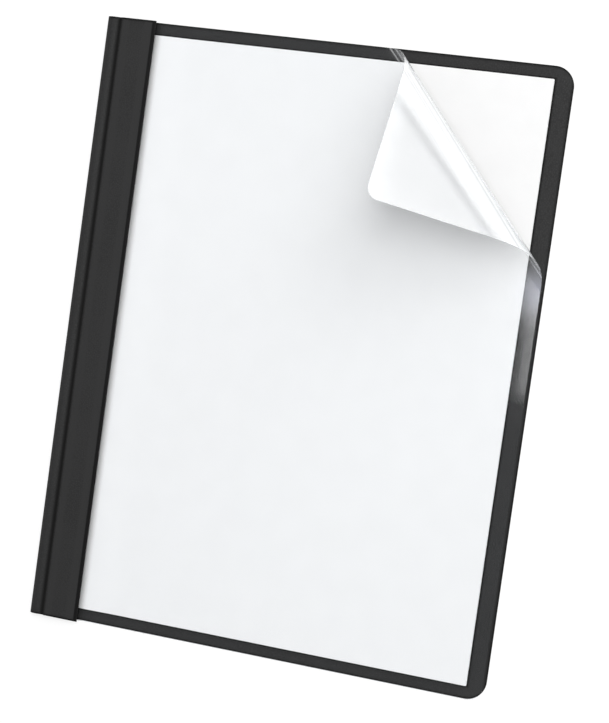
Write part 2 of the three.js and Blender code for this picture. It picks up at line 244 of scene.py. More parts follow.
def ease(share):
    """Smooth step from 0 to 1 with level ends."""
    return (1 - np.cos(np.pi * np.clip(share, 0, 1))) / 2


def settled(x, high, low):
    """Height that passes from high to low along the settling stretch."""
    return high + (low - high) * ease((x - SETTLE_LEFT) / SETTLE_LENGTH)


def grid_faces(rows, columns):
    """Quads of a grid of points, numbered row by row."""
    first = np.arange(rows - 1)[:, None] * columns + np.arange(columns - 1)
    quads = np.stack([first, first + 1, first + columns + 1, first + columns], axis=-1)
    return quads.reshape(-1, 4)


def level_line(firsts, second):
    """Points with these first coordinates, all with the same second one."""
    return np.stack([firsts, np.full(len(firsts), second)], -1)


def merged(points, faces):
    """The points with those that meet taken as one, and the faces renumbered to suit."""
    keys = np.round(points / SAME_POINT).astype(np.int64)
    _, first, place = np.unique(keys, axis=0, return_index=True, return_inverse=True)
    return points[first], place.reshape(-1)[faces]


def merged_net(grids):
    """Joins flat grids of points, each (rows, columns, 2), where their points meet."""
    faces = []
    start = 0
    for grid in grids:
        faces.append(grid_faces(*grid.shape[:2]) + start)
        start += grid.shape[0] * grid.shape[1]
    points = np.concatenate([grid.reshape(-1, 2) for grid in grids])
    return merged(points, np.concatenate(faces))


def face_lists(faces):
    """Faces as lists, with the doubled corners of collapsed quads left out."""
    kept = []
    for face in faces.tolist():
        corners = [c for i, c in enumerate(face) if c != face[i - 1]]
        if len(set(corners)) > 2:
            kept.append(corners)
    return kept


def closed_sheet(middle, normals, faces, thickness):
    """A sheet's middle surface moved half its thickness to each side, and its open edges joined."""
    count = len(middle)
    vertices = np.concatenate([middle + normals * thickness / 2, middle - normals * thickness / 2])
    edges = np.stack([faces, np.roll(faces, -1, axis=1)], axis=-1).reshape(-1, 2)
    edges = edges[edges[:, 0] != edges[:, 1]]
    keys = edges[:, 0] * count + edges[:, 1]
    backwards = edges[:, 1] * count + edges[:, 0]
    rim = edges[~np.isin(keys, backwards)]
    a, b = rim[:, 0], rim[:, 1]
    walls = np.stack([a, a + count, b + count, b], axis=-1)
    return vertices, face_lists(np.concatenate([faces, faces[:, ::-1] + count, walls]))


def make_piece(name, vertices, faces, material, sharp_from=SHARP_FROM):
    """A mesh object at the origin, smooth except where faces meet at more than an angle."""
    mesh = bpy.data.meshes.new(name)
    mesh.from_pydata(np.asarray(vertices).tolist(), [], faces)
    mesh.materials.append(material)
    mesh.shade_smooth()
    mesh.set_sharp_from_angle(angle=math.radians(sharp_from))
    piece = bpy.data.objects.new(name, mesh)
    bpy.context.scene.collection.objects.link(piece)
    return piece


def mark(piece, name, values):
    """Stores a number for each point of a sheet's middle at its vertices on both sides, under a name
    that the piece's material reads."""
    attribute = piece.data.attributes.new(name, "FLOAT", "POINT")
    attribute.data.foreach_set("value", np.tile(values.reshape(-1), 2).astype(np.float32))


class Shader:
    """Builds the nodes of one material, or of the world."""

    def __init__(self, name, owners=bpy.data.materials):
        self.owner = owners.new(name)
        self.owner.use_nodes = True
        self.tree = self.owner.node_tree
        self.tree.nodes.clear()
        world = isinstance(self.owner, bpy.types.World)
        self.output = self.node("ShaderNodeOutputWorld" if world else "ShaderNodeOutputMaterial")

    def node(self, kind, inputs=None, **settings):
        """A node with its settings, and each input set to a value or linked to another's output."""
        made = self.tree.nodes.new(kind)
        for key, value in settings.items():
            setattr(made, key, value)
        for key, value in (inputs or {}).items():
            if isinstance(value, bpy.types.NodeSocket):
                self.tree.links.new(value, made.inputs[key])
            else:
                made.inputs[key].default_value = value
        return made

    def math(self, operation, first, second=0.0, clamp=False):
        """The result of one sum on values or outputs."""
        made = self.node("ShaderNodeMath", {0: first, 1: second}, operation=operation, use_clamp=clamp)
        return made.outputs[0]

    def ramp(self, value, start, end, low=0.0, high=1.0):
        """value from start to end, smoothly taken to low to high."""
        made = self.node(
            "ShaderNodeMapRange",
            {"Value": value, "From Min": start, "From Max": end, "To Min": low, "To Max": high},
            interpolation_type="SMOOTHSTEP",
        )
        return made.outputs["Result"]

    def place(self):
        """Object coordinates."""
        return self.node("ShaderNodeTexCoord").outputs["Object"]

    def attribute(self, name):
        """A number that mark() stored on the piece."""
        return self.node("ShaderNodeAttribute", attribute_name=name).outputs["Fac"]

    def stretched(self, coordinates, scale):
        """Coordinates multiplied by a scale along each axis."""
        made = self.node("ShaderNodeMapping", {"Vector": coordinates, "Scale": scale})
        return made.outputs["Vector"]

    def noise(self, coordinates, scale, detail=2.0, roughness=0.5):
        """Smooth noise from 0 to 1, with scale in bumps per metre."""
        made = self.node(
            "ShaderNodeTexNoise",
            {"Vector": coordinates, "Scale": scale, "Detail": detail, "Roughness": roughness},
        )
        return made.outputs["Fac"]

    def blend(self, share, first, second):
        """Colours mixed by a share."""
        made = self.node("ShaderNodeMix", {0: share, 6: first, 7: second}, data_type="RGBA")
        return made.outputs[2]

    def bump(self, height, strength, distance):
        """A normal from a height."""
        made = self.node(
            "ShaderNodeBump", {"Height": height, "Strength": strength, "Distance": distance}
        )
        return made.outputs["Normal"]

    def principled(self, inputs):
        """The general surface with some inputs set."""
        return self.node("ShaderNodeBsdfPrincipled", inputs).outputs[0]

    def clear(self, colour):
        """A surface that lets light straight through and tints it."""
        return self.node("ShaderNodeBsdfTransparent", {"Color": colour}).outputs[0]

    def mixed(self, share, first, second):
        """Two surfaces mixed by a share."""
        return self.node("ShaderNodeMixShader", {0: share, 1: first, 2: second}).outputs[0]

    def finish(self, surface):
        """The material or the world, with its surface linked."""
        self.tree.links.new(surface, self.output.inputs["Surface"])
        return self.owner


def grey(value, tint=(1.0, 1.0, 1.0)):
    """A linear colour of one brightness, with a tint."""
    return (value * tint[0], value * tint[1], value * tint[2], 1.0)


def leatherette_material():
    """Dark embossed card: pebbled grain and mottling, with painted shade in dark lines along its cut
    edges, the spine, the groove, the pages' outline and the hemmed edge of the strip, and painted
    highlights in paler shoulders along the strip."""
    s = Shader("leatherette")
    place = s.place()
    warp = s.node("ShaderNodeTexNoise", {"Vector": place, "Scale": PEBBLE_WARP_SCALE, "Detail": 2.0})
    shift = s.node(
        "ShaderNodeVectorMath",
        {0: warp.outputs["Color"], "Scale": PEBBLE_WARP},
        operation="SCALE",
    )
    warped = s.node("ShaderNodeVectorMath", {0: place, 1: shift.outputs[0]}, operation="ADD")
    pebbles = s.node(
        "ShaderNodeTexVoronoi",
        {"Vector": warped.outputs[0], "Scale": PEBBLE_SCALE, "Randomness": 0.9},
        feature="DISTANCE_TO_EDGE",
    )
    crown = s.ramp(pebbles.outputs["Distance"], 0.0, 0.28)
    wrinkle = s.noise(place, WRINKLE_SCALE, 4.0, 0.6)
    fibre = s.noise(place, LEATHERETTE_FIBRE_SCALE, 2.0)
    height = s.math("ADD", s.math("MULTIPLY", crown, 0.75), s.math("MULTIPLY", wrinkle, 0.6))
    height = s.math("ADD", height, s.math("MULTIPLY", fibre, 0.12))
    mottle = s.noise(place, LEATHERETTE_MOTTLE_SCALE, 3.0, 0.55)
    tone = s.math("ADD", s.ramp(mottle, 0.3, 0.7, 0.93, 1.07), s.ramp(crown, 0.0, 1.0, -0.16, 0.03))
    # Painted shade: darker along the cut edges, the spine, the groove, the pages' outline and the hem
    edge = s.attribute("edge")
    tone = s.math("MULTIPLY", tone, s.ramp(edge, 0.0, 1.0, 1.0, 0.0))
    # Painted highlight: paler shoulders along the strip
    painted_highlight = s.attribute("painted_highlight")
    tone = s.math("MULTIPLY", tone, s.ramp(painted_highlight, 0.0, 1.0, 1.0, HIGHLIGHT_GAIN))
    colour = s.blend(tone, grey(0.0), grey(LEATHERETTE_GREY, (1.0, 1.0, 1.02)))
    surface = s.principled({
        "Base Color": colour,
        "Roughness": s.ramp(crown, 0.0, 1.0, 0.66, 0.5),
        "Specular IOR Level": 0.25,
        "Normal": s.bump(height, 0.35, LEATHERETTE_RELIEF),
    })
    return s.finish(surface)


def paper_material():
    """White paper: faint fibres and cloudiness."""
    s = Shader("paper")
    place = s.place()
    fibre = s.noise(s.stretched(place, (1.0, 0.6, 1.0)), PAPER_FIBRE_SCALE, 3.0)
    cloud = s.noise(place, PAPER_CLOUD_SCALE, 2.0)
    tone = s.math("ADD", s.ramp(cloud, 0.3, 0.7, 0.985, 1.0), s.ramp(fibre, 0.2, 0.8, -0.006, 0.006))
    colour = s.blend(tone, grey(0.0), grey(PAPER_WHITE, (0.998, 0.999, 1.0)))
    surface = s.principled({
        "Base Color": colour,
        "Roughness": 0.85,
        "Specular IOR Level": 0.25,
        "Normal": s.bump(fibre, 0.12, PAPER_RELIEF),
    })
    return s.finish(surface)


def card_material():
    """Dark card with felted fibres."""
    s = Shader("card_stock")
    place = s.place()
    felt = s.noise(place, FELT_SCALE, 4.0, 0.65)
    mottle = s.noise(place, CARD_MOTTLE_SCALE, 3.0)
    tone = s.math("ADD", s.ramp(mottle, 0.3, 0.7, 0.9, 1.08), s.ramp(felt, 0.3, 0.7, -0.1, 0.12))
    surface = s.principled({
        "Base Color": s.blend(tone, grey(0.0), grey(CARD_GREY, (1.0, 1.0, 1.03))),
        "Roughness": s.ramp(felt, 0.2, 0.8, 0.7, 0.85),
        "Normal": s.bump(felt, 0.3, CARD_RELIEF),
    })
    return s.finish(surface)


def metal_material():
    """Tinned sheet steel: rolling lines along the prongs and a few dull clouds."""
    s = Shader("tinned_steel")
    place = s.place()
    lines = s.noise(s.stretched(place, (1.0, 0.03, 1.0)), ROLLING_SCALE, 3.0, 0.6)
    cloud = s.noise(place, STEEL_CLOUD_SCALE, 3.0, 0.6)
    tone = s.math("ADD", s.ramp(cloud, 0.3, 0.7, 0.9, 1.03), s.ramp(lines, 0.3, 0.7, -0.05, 0.05))
    roughness = s.math(
        "ADD", s.ramp(lines, 0.3, 0.7, 0.22, 0.34), s.ramp(cloud, 0.3, 0.7, 0.0, 0.1)
    )
    surface = s.principled({
        "Base Color": s.blend(tone, grey(0.0), grey(STEEL_GREY, (0.99, 1.0, 1.01))),
        "Metallic": 1.0,
        "Roughness": roughness,
        "Normal": s.bump(lines, 0.1, STEEL_RELIEF),
    })
    return s.finish(surface)


def film_material():
    """Clear film. Each face mirrors 2 per cent of what it faces and more at a slant, and lets the rest
    through with a faint blue. Where the sheet has been bent it is a little hazy, mirrors more, and
    shades what lies under it, because it throws the lamps' light aside. Its roll has white stretch
    marks, partly a painted highlight; the start of the curl has two pale crease lines near the edges,
    partly a painted highlight; the end of the curl at the side edge carries a painted reflection as a
    pale lavender cloud; and painted shade makes the film grey along the hem."""
    s = Shader("clear_film")
    place = s.place()
    bent = s.attribute("bent")
    ripple = s.noise(place, RIPPLE_SCALE, 2.0, 0.4)
    normal = s.bump(ripple, 0.06, RIPPLE_RELIEF)
    slant = s.node("ShaderNodeLayerWeight", {"Blend": 0.5, "Normal": normal}).outputs["Facing"]
    mirror = s.math("ADD", s.math("MULTIPLY", s.math("POWER", slant, 5.0), 0.96), FILM_MIRROR)
    across = s.attribute("across")
    line = s.node("ShaderNodeCombineXYZ", {"X": across}).outputs[0]
    # Stretch marks, also the streaks of the painted highlight on the roll
    marks_and_streaks = s.noise(line, STRETCH_MARK_AND_STREAK_SCALE, 2.0, 0.6)
    rolled = s.attribute("rolled")
    dulled = s.ramp(marks_and_streaks, 0.4, 0.6, 0.0, MARKED_MIRROR - BENT_MIRROR)
    glare = s.math("ADD", BENT_MIRROR, s.math("MULTIPLY", rolled, dulled))
    mirror = s.math("ADD", mirror, s.math("MULTIPLY", bent, glare), clamp=True)
    # Painted shade: the film is seen greyer beside the strip
    painted_strip_shade = s.attribute("painted_strip_shade")
    clear = s.clear(s.blend(painted_strip_shade, grey(1.0, FILM_TINT), grey(STRIP_SHADE_GREY)))
    shade = s.clear(s.blend(bent, grey(1.0), grey(BENT_SHADE)))
    scuffs = s.noise(s.stretched(place, (1.0, 3.0, 1.0)), SCUFF_SCALE, 2.0, 0.5)
    roughness = s.math("ADD", s.ramp(scuffs, 0.35, 0.75, 0.06, 0.09), s.math("MULTIPLY", bent, 0.14))
    gloss = s.principled({
        "Base Color": grey(1.0),
        "Metallic": 1.0,
        "Roughness": roughness,
        "Normal": normal,
    })
    # Painted reflection: a pale lavender cloud where the curl ends at the side edge
    painted_reflection = s.attribute("painted_reflection")
    haze_and_reflection_colour = s.blend(painted_reflection, grey(1.0, HAZE_COLOUR), grey(1.0, PAINTED_REFLECTION_COLOUR))
    haze_and_painted_light = s.principled({"Base Color": haze_and_reflection_colour, "Roughness": 0.5})
    # Crease lines: partly crease whitening, partly painted highlight
    creases_and_highlights = s.attribute("creases_and_highlights")
    # Painted highlight: whiter streaks along the roll, partly stretch whitening
    haze_and_painted_light_share = s.math("MULTIPLY", rolled, s.ramp(marks_and_streaks, 0.4, 0.6, 0.05, 0.4))
    # Haze share: real haze where bent, painted highlights along the roll and the crease lines, and
    # painted reflection at the curl's end
    for share, amount in ((bent, BENT_HAZE), (creases_and_highlights, CREASE_HAZE_AND_HIGHLIGHT), (painted_reflection, PAINTED_REFLECTION_HAZE)):
        haze_and_painted_light_share = s.math("ADD", haze_and_painted_light_share, s.math("MULTIPLY", share, amount), clamp=True)
    seen = s.mixed(mirror, s.mixed(haze_and_painted_light_share, clear, haze_and_painted_light), gloss)
    path = s.node("ShaderNodeLightPath")
    seen = s.mixed(path.outputs["Is Diffuse Ray"], seen, shade)
    return s.finish(s.mixed(path.outputs["Is Shadow Ray"], seen, shade))


def floor_material():
    """White floor: it shows as white to the eye and in mirrors, with the object's soft shadow."""
    s = Shader("floor")
    path = s.node("ShaderNodeLightPath")
    seen = s.math("ADD", path.outputs["Is Camera Ray"], path.outputs["Is Glossy Ray"])
    seen = s.math("ADD", seen, path.outputs["Is Transmission Ray"], clamp=True)
    plain = s.node("ShaderNodeBsdfDiffuse", {"Color": grey(FLOOR_WHITE)})
    dim = s.node("ShaderNodeBsdfDiffuse", {"Color": grey(FLOOR_SEEN_WHITE)})
    glow = s.node("ShaderNodeEmission", {"Color": grey(1.0), "Strength": FLOOR_SEEN_GLOW})
    white = s.node("ShaderNodeAddShader", {0: dim.outputs[0], 1: glow.outputs[0]})
    return s.finish(s.mixed(seen, plain.outputs[0], white.outputs[0]))


LEATHERETTE = leatherette_material()
PAPER = paper_material()
CARD_STOCK = card_material()
TINNED = metal_material()
CLEAR = film_material()


def arc(centre, radii, start, end, steps):
    """Points round an oval centre, from one angle to another in degrees, both ends included."""
    angle = np.radians(np.linspace(start, end, steps + 1))
    return np.stack([centre[0] + radii[0] * np.cos(angle), centre[1] + radii[1] * np.sin(angle)], -1)


def smooth_step(start, end, count):
    """Points from a start to an end that leave and arrive level, with the start left out."""
    share = np.linspace(0, 1, count)[1:]
    across = start[0] + (end[0] - start[0]) * share
    return np.stack([across, start[1] + (end[1] - start[1]) * ease(share)], -1)


def cover_section():
    """Middle line of the folded leatherette in X and Z, from the free edge of the back panel, round
    the spine and through the groove, along the strip, and under it to the end of the hem."""
    hem_high = STRIP_TOP - CARD / 2
    hem_low = hem_high - CARD - HEM_GAP
    crest = hem_high - CREST_DROP
    groove = hem_high - GROOVE_DEPTH
    flat_x = SPINE_X + SPINE_DEPTH
    strip_left = GROOVE_X + GROOVE_TO_STRIP
    hem_radius = (hem_high - hem_low) / 2
    corner = FREE_X - CORNER_RADIUS * (1 - np.cos(np.radians(np.linspace(0, 90, CORNER_POINTS))))
    beside_pages = PAGES_HIGH[0] + PAGE_SHADOW_LINES
    panel_x = np.concatenate([corner, beside_pages, np.linspace(corner[-1], flat_x, PANEL_POINTS)])
    panel_x = np.unique(np.round(panel_x, 6))[::-1]
    panel = level_line(panel_x, CARD / 2)
    middle_z = (CARD / 2 + crest) / 2
    spine_radii = (SPINE_DEPTH - CARD / 2, crest - middle_z)
    spine = arc((flat_x, middle_z), spine_radii, -90, -270, SPINE_STEPS)
    dip = smooth_step((flat_x, crest), (GROOVE_X, groove), GROOVE_POINTS)
    rise = smooth_step((GROOVE_X, groove), (strip_left, hem_high), GROOVE_POINTS)
    hem_x = STRIP_RIGHT - CARD / 2 - hem_radius
    hem_shade_x = STRIP_RIGHT - HEM_SHADE
    plain_x = np.linspace(strip_left, hem_shade_x, STRIP_POINTS)[1:]
    shaded_x = np.linspace(hem_shade_x, hem_x, HEM_POINTS)[1:-1]
    strip = level_line(np.concatenate([plain_x, shaded_x]), hem_high)
    fold = arc((hem_x, (hem_high + hem_low) / 2), (hem_radius, hem_radius), 90, -90, FOLD_STEPS)
    under = level_line(np.linspace(hem_x, FILM_LEFT, UNDER_POINTS)[1:], hem_low)
    return np.concatenate([panel, spine[1:], dip, rise, strip, fold, under])


def cover_half_height(section):
    """Half the sheet's height at each point of the section: rounded off at the two free corners, and
    a little longer along the strip than on the back."""
    x, z = section[:, 0], section[:, 1]
    past = np.clip((x - (FREE_X - CORNER_RADIUS)) / CORNER_RADIUS, 0, 1)
    rounded = HALF_HEIGHT - CORNER_RADIUS * (1 - np.sqrt(np.clip(1 - past ** 2, 0, 1)))
    height = ease(z / STRIP_TOP)
    overhang = (STRIP_HALF - HALF_HEIGHT) * height
    return np.where(z < CARD, rounded, HALF_HEIGHT + overhang)


def mitred_normals(section):
    """Directions square to a section's line at its points, longer where it bends, so that a sheet built
    on them keeps its thickness."""
    steps = np.diff(section, axis=0)
    steps /= np.linalg.norm(steps, axis=1)[:, None]
    before = np.concatenate([steps[:1], steps])
    after = np.concatenate([steps, steps[-1:]])
    along = before + after
    along /= np.linalg.norm(along, axis=1)[:, None]
    half_bend_cosine = (along * before).sum(axis=1)
    normal = np.stack([along[:, 1], np.zeros(len(section)), -along[:, 0]], -1)
    return normal / half_bend_cosine[:, None]


def painted_edge_shade(x, y, z, half):
    """Painted shade on the leatherette: bell curves about its cut edges, the groove, the spine and the
    pages' outline, and a smooth step at the hemmed edge of the strip."""
    on_back = z < CARD
    cut = np.where(on_back, np.minimum(half - y, FREE_X - x), half - y)
    crease = np.where(on_back, FAR, np.abs(x - GROOVE_X))
    outline = np.maximum(x - PAGES_HIGH[0], y - PAGES_HIGH[1])
    page_shadow_distance = np.where(on_back, np.abs(outline - PAGE_SHADOW_WIDTH / 2), FAR)
    hem = np.where(z > STRIP_TOP - CARD, ease((x - STRIP_RIGHT + HEM_SHADE) / HEM_SHADE_STEP), 0)
    spine = np.where(on_back, FAR, x - SPINE_X)
    shades = [
        np.exp(-(cut / EDGE_WIDTH) ** 2),
        np.exp(-(crease / GROOVE_SHADE_WIDTH) ** 2),
        np.exp(-(page_shadow_distance / PAGE_SHADOW_WIDTH) ** 2),
        hem,
        np.exp(-(spine / EDGE_WIDTH) ** 2),
    ]
    return np.max(shades, axis=0)


def painted_shoulder_highlights(x, z):
    """Painted highlight on the strip: bell curves about a line beside the groove and one beside the hem.
    """
    beside_groove = (x - GROOVE_X - HIGHLIGHT_FROM_GROOVE) / HIGHLIGHT_WIDTH
    beside_hem = (x - STRIP_RIGHT + HIGHLIGHT_FROM_HEM) / HIGHLIGHT_WIDTH
    shoulders = np.exp(-beside_groove ** 2) + np.exp(-beside_hem ** 2)
    return np.where(z > STRIP_TOP - CARD, shoulders, 0)


def leatherette_cover():
    """One folded sheet of card: a section carried along the cover's height."""
    section = cover_section()
    half = cover_half_height(section)
    whole = np.linspace(0, HALF_HEIGHT, HEIGHT_POINTS)
    near_end = HALF_HEIGHT - np.linspace(0, NEAR_END, END_POINTS)
    beside_pages = PAGES_HIGH[1] + PAGE_SHADOW_LINES
    lines = np.concatenate([whole, near_end, beside_pages]) / HALF_HEIGHT
    share = np.unique(np.round(np.concatenate([lines, -lines]), 6))
    y = share[:, None] * half[None, :]
    x = np.broadcast_to(section[:, 0], y.shape)
    z = np.broadcast_to(section[:, 1], y.shape)
    middle = np.stack([x, y, z], -1)
    normals = np.broadcast_to(mitred_normals(section), middle.shape)
    faces = grid_faces(*y.shape)
    vertices, lists = closed_sheet(middle.reshape(-1, 3), normals.reshape(-1, 3), faces, CARD)
    piece = make_piece("leatherette_cover", vertices, lists, LEATHERETTE)
    # Painted shade along the edges, spine, groove, pages' outline and hem
    dark = painted_edge_shade(x, np.abs(y), z, half[None, :])
    mark(piece, "edge", dark)
    # Painted highlight along the strip's shoulders
    mark(piece, "painted_highlight", painted_shoulder_highlights(x, z))
    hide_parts("back_cover", "front_flap")
    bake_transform(piece)


def curl_profile():
    """Reach and lift along a curl of radius 1 against length. Its curvature grows to 1 over a short
    lead-in and then falls evenly to 0, so the flap past the roll is straight."""
    turn = math.radians(CURL_TURN)
    fade = 2 * turn - CURL_LEAD_IN
    end = CURL_LEAD_IN + fade
    length = np.linspace(0, end, PROFILE_POINTS)
    past = length - CURL_LEAD_IN
    angle = np.where(
        past < 0,
        length ** 2 / (2 * CURL_LEAD_IN),
        CURL_LEAD_IN / 2 + past - past ** 2 / (2 * fade),
    )
    middle = (angle[1:] + angle[:-1]) / 2
    step = length[1]
    reach = np.concatenate([[0], np.cumsum(np.cos(middle)) * step])
    lift = np.concatenate([[0], np.cumsum(np.sin(middle)) * step])
    return length, reach, lift, turn


CURL_LENGTH, CURL_REACH, CURL_LIFT, CURL_END_ANGLE = curl_profile()
ROLL = np.array([math.cos(math.radians(CURL_DIRECTION)), math.sin(math.radians(CURL_DIRECTION))])
ACROSS = np.array([-ROLL[1], ROLL[0]])
FILM_CORNER = np.array([FILM_RIGHT, FILM_TOP])
CURL_START = FILM_CORNER - CURL_DEPTH * ACROSS
ROUND_CENTRE = FILM_CORNER - FILM_CORNER_RADIUS


def line_ends(offset):
    """Where lines along the roll, at offsets across it, meet the film's top edge and side edge."""
    line = CURL_START + offset[:, None] * ACROSS
    to_centre = ROUND_CENTRE - line
    middle = to_centre @ ROLL
    away = to_centre @ ACROSS
    half = np.sqrt(np.clip(FILM_CORNER_RADIUS ** 2 - away ** 2, 0, None))
    top = (FILM_TOP - line[:, 1]) / ROLL[1]
    side = (FILM_RIGHT - line[:, 0]) / ROLL[0]
    top = np.where(line[:, 0] + top * ROLL[0] > ROUND_CENTRE[0], middle - half, top)
    side = np.where(line[:, 1] + side * ROLL[1] > ROUND_CENTRE[1], middle + half, side)
    return top, side


CURL_TOP_END, CURL_SIDE_END = (ends[0] for ends in line_ends(np.zeros(1)))


def on_the_curl(flat):
    """Each flat point's distance across the curl, its distance along it, and the curl's radius there,
    which changes evenly from the film's top edge to its side edge."""
    from_start = flat - CURL_START
    offset = from_start @ ACROSS
    along = from_start @ ROLL
    share = np.clip((along - CURL_TOP_END) / (CURL_SIDE_END - CURL_TOP_END), 0, 1)
    return offset, along, CURL_RADIUS_TOP + (CURL_RADIUS_SIDE - CURL_RADIUS_TOP) * share


def film_place(flat):
    """Places of the flat film's points once it is bound and its corner is curled."""
    offset, along, radius = on_the_curl(flat)
    length = np.clip(offset, 0, None) / radius
    past = np.clip(length - CURL_LENGTH[-1], 0, None)
    reach = np.interp(length, CURL_LENGTH, CURL_REACH) + past * math.cos(CURL_END_ANGLE)
    lift = np.interp(length, CURL_LENGTH, CURL_LIFT) + past * math.sin(CURL_END_ANGLE)
    reach = np.where(offset > 0, reach * radius, offset)
    lift = np.where(offset > 0, lift * radius, 0)
    plan = CURL_START + along[:, None] * ROLL + reach[:, None] * ACROSS
    height = settled(flat[:, 0], FILM_HIGH_Z, FILM_LOW_Z) + lift
    return np.concatenate([plan, height[:, None]], -1)


def film_normals(flat):
    """Directions square to the placed film."""
    along_x = film_place(flat + (NORMAL_STEP, 0)) - film_place(flat - (NORMAL_STEP, 0))
    along_y = film_place(flat + (0, NORMAL_STEP)) - film_place(flat - (0, NORMAL_STEP))
    normal = np.cross(along_x, along_y)
    return normal / np.linalg.norm(normal, axis=1)[:, None]


def film_grids():
    """The flat film as three grids that meet: its bound and settling part, the part that stays flat,
    ruled from a straight line to its outline, and the part past the line where the curl starts."""
    tip = (ROUND_CENTRE - CURL_START) @ ACROSS + FILM_CORNER_RADIUS
    beside_creases = CREASES[:, None] + np.linspace(-2, 2, CREASE_POINTS) * CREASE_LINE
    closer_to_tip = tip * np.sin(np.linspace(0, np.pi / 2, ACROSS_CURL_POINTS))
    offsets = np.unique(np.round(np.concatenate([closer_to_tip, beside_creases.ravel()]), 6))
    top, side = line_ends(offsets)
    share = np.linspace(0, 1, ALONG_CURL_STEPS + 1)
    along = top[:, None] + (side - top)[:, None] * share
    curled = CURL_START + along[..., None] * ROLL + offsets[:, None, None] * ACROSS
    angle = np.radians(np.linspace(-90, 0, FILM_CORNER_POINTS))
    corner_x = ROUND_CENTRE[0] + FILM_CORNER_RADIUS * np.cos(angle)
    corner_y = -ROUND_CENTRE[1] + FILM_CORNER_RADIUS * np.sin(angle)
    low_corner = np.stack([corner_x, corner_y], -1)
    side_y = np.linspace(low_corner[-1, 1], curled[0, -1, 1], FILM_SIDE_POINTS)[1:-1]
    side_edge = level_line(side_y, FILM_RIGHT)[:, ::-1]
    right = np.concatenate([low_corner, side_edge, curled[0, ::-1]])
    left_y = np.linspace(-FILM_TOP, FILM_TOP, len(right))
    left = level_line(left_y, SETTLE_RIGHT)[:, ::-1]
    share = np.linspace(0, 1, FILM_FLAT_POINTS)[:, None, None]
    flat = left * (1 - share) + right * share
    bound_x = np.linspace(FILM_LEFT, STRIP_RIGHT, FILM_BOUND_POINTS)
    settling_x = np.linspace(SETTLE_LEFT, SETTLE_RIGHT, FILM_SETTLE_POINTS)
    columns = np.unique(np.round(np.concatenate([bound_x, settling_x]), 6))
    bound = np.stack(np.meshgrid(columns, left_y, indexing="ij"), -1)
    return [bound.transpose(1, 0, 2), flat.transpose(1, 0, 2), curled[:, ::-1]]


def clear_film():
    """Clear front cover: a flat film with rounded corners, bound at the left and curled at one corner."""
    bound, flat, curled = film_grids()
    points, faces = merged_net([bound, flat, curled])
    sides = points[faces[:, 1:]] - points[faces[:, :1]]
    area = np.cross(sides[:, 0], sides[:, 1]) + np.cross(sides[:, 1], sides[:, 2])
    faces = np.where((area < 0)[:, None], faces[:, ::-1], faces)
    middle = film_place(points)
    vertices, lists = closed_sheet(middle, film_normals(points), faces, FILM)
    piece = make_piece("clear_film_cover", vertices, lists, CLEAR)
    offset, _, radius = on_the_curl(points)
    bent = ease((offset - BENT_FROM) / (BENT_TO - BENT_FROM))
    lines = np.exp(-((offset[:, None] - CREASES) / CREASE_LINE) ** 2).sum(axis=1)
    from_edge = np.minimum(FILM_TOP - points[:, 1], FILM_RIGHT - points[:, 0])
    rolled = np.exp(-((offset / radius - ROLL_MIDDLE) / ROLL_WIDTH) ** 2)
    from_strip = np.clip(points[:, 0] - STRIP_RIGHT, 0, None)
    from_end = np.linalg.norm(points - CURL_START - CURL_SIDE_END * ROLL, axis=1)
    # Painted shade: greyer film beside the strip
    mark(piece, "painted_strip_shade", np.exp(-(from_strip / STRIP_SHADE_REACH) ** 2))
    # Painted reflection at the end of the curl
    mark(piece, "painted_reflection", np.exp(-(from_end / PAINTED_REFLECTION_REACH) ** 2))
    mark(piece, "bent", bent)
    # Band along the roll: stretch marks, partly a painted highlight
    mark(piece, "rolled", rolled)
    mark(piece, "across", offset)
    # Pale crease lines, partly a painted highlight
    mark(piece, "creases_and_highlights", lines * np.exp(-(from_edge / CREASE_REACH) ** 2))
    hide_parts("clear_front_cover")
    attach(piece, "front")


def sheet_net():
    """A page as flat grids: lines that pass each hole's square patch, and a ring in each patch that
    runs from the round hole out to the square."""
    patch = np.linspace(-HOLE_PATCH, HOLE_PATCH, HOLE_SIDE_STEPS + 1)
    settling_x = np.linspace(SETTLE_LEFT, SETTLE_RIGHT, SHEET_SETTLE_POINTS)
    x_lines = np.concatenate([[PAGES_LOW[0]], HOLE_X + patch, settling_x, [0.0, PAGES_HIGH[0]]])
    y_lines = np.sort(np.concatenate([hole + patch for hole in HOLE_YS]))
    y_lines = np.concatenate([[PAGES_LOW[1]], y_lines, [PAGES_HIGH[1]]])
    whole = np.stack(np.meshgrid(x_lines, y_lines), -1)
    points = whole.reshape(-1, 2)
    faces = grid_faces(*whole.shape[:2])
    centres = points[faces].mean(axis=1)
    inside = np.zeros(len(faces), bool)
    for hole in HOLE_YS:
        away = np.abs(centres - (HOLE_X, hole))
        inside |= (away < HOLE_PATCH).all(axis=1)
    faces = faces[~inside]
    edge = patch[:-1]
    square = np.concatenate([
        level_line(edge, -HOLE_PATCH),
        level_line(edge, HOLE_PATCH)[:, ::-1],
        level_line(-edge, HOLE_PATCH),
        level_line(-edge, -HOLE_PATCH)[:, ::-1],
    ])
    square = np.concatenate([square, square[:1]])
    circle = square / np.linalg.norm(square, axis=1)[:, None] * HOLE_RADIUS
    out = np.linspace(0, 1, HOLE_RING_POINTS)[:, None, None]
    ring = circle * (1 - out) + square * out
    ring_faces = grid_faces(*ring.shape[:2])[:, ::-1]
    all_points, all_faces = [points], [faces]
    start = len(points)
    for hole in HOLE_YS:
        all_points.append(ring.reshape(-1, 2) + (HOLE_X, hole))
        all_faces.append(ring_faces + start)
        start += len(ring.reshape(-1, 2))
    return merged(np.concatenate(all_points), np.concatenate(all_faces))


